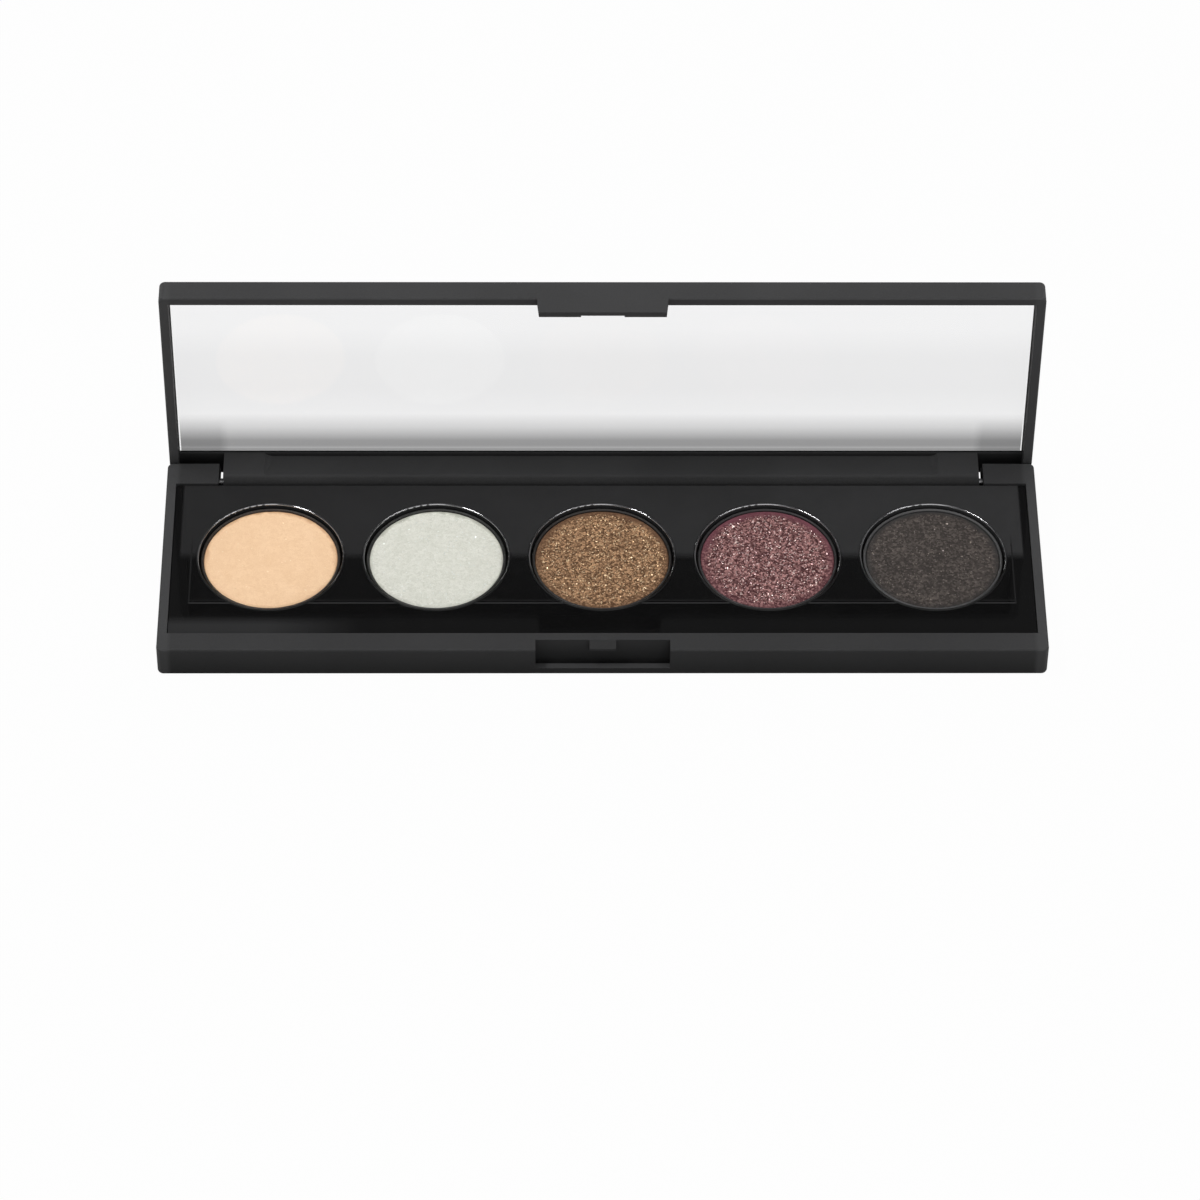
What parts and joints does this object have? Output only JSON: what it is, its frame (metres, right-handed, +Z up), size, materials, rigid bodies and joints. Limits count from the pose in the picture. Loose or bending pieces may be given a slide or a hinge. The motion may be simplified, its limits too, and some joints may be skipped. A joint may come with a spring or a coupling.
{
  "type": "eyeshadow palette",
  "caption": "Slim rectangular makeup compact with round pans of pressed powder in a row and a hinged lid that carries a full-width mirror.",
  "frame": {"origin": "centre of the underside of the base", "axes": "+X along the length of the case, +Y from the front to the hinge, +Z up; the lid stands open"},
  "size_m": [0.1642, 0.0531, 0.0496],
  "materials": {
    "soft_touch_black": "soft-touch matt",
    "gloss_black": "polished",
    "mirror_silver": "silvered glass",
    "adhesive_white": "foam tape",
    "pin_steel": "drawn wire",
    "pan_metal": "stamped, dark satin",
    "glue_amber": "hot-melt",
    "powder_peach": "pressed powder, satin",
    "powder_mint": "pressed powder, shimmer",
    "powder_bronze": "pressed powder, glitter",
    "powder_plum": "pressed powder, glitter",
    "powder_charcoal": "pressed powder, glitter"
  },
  "bodies": {
    "base": {"base_shell": "soft_touch_black", "insert": "gloss_black", "hinge_pin_left": "pin_steel", "hinge_pin_right": "pin_steel", "pan_1": "pan_metal", "pan_2": "pan_metal", "pan_3": "pan_metal", "pan_4": "pan_metal", "pan_5": "pan_metal", "powder_1": "powder_peach", "powder_2": "powder_mint", "powder_3": "powder_bronze", "powder_4": "powder_plum", "powder_5": "powder_charcoal", "glue_dot_1": "glue_amber", "glue_dot_2": "glue_amber", "glue_dot_3": "glue_amber", "glue_dot_4": "glue_amber", "glue_dot_5": "glue_amber"},
    "lid": {"lid_shell": "soft_touch_black", "mirror": "mirror_silver", "mirror_adhesive": "adhesive_white"}
  },
  "joints": [
    {"name": "lid_hinge", "type": "hinge", "parent": "base", "child": "lid", "pos_m": [0, 0.0215, 0.004], "axis": [1, 0, 0], "range_deg": [0, 90]}
  ]
}
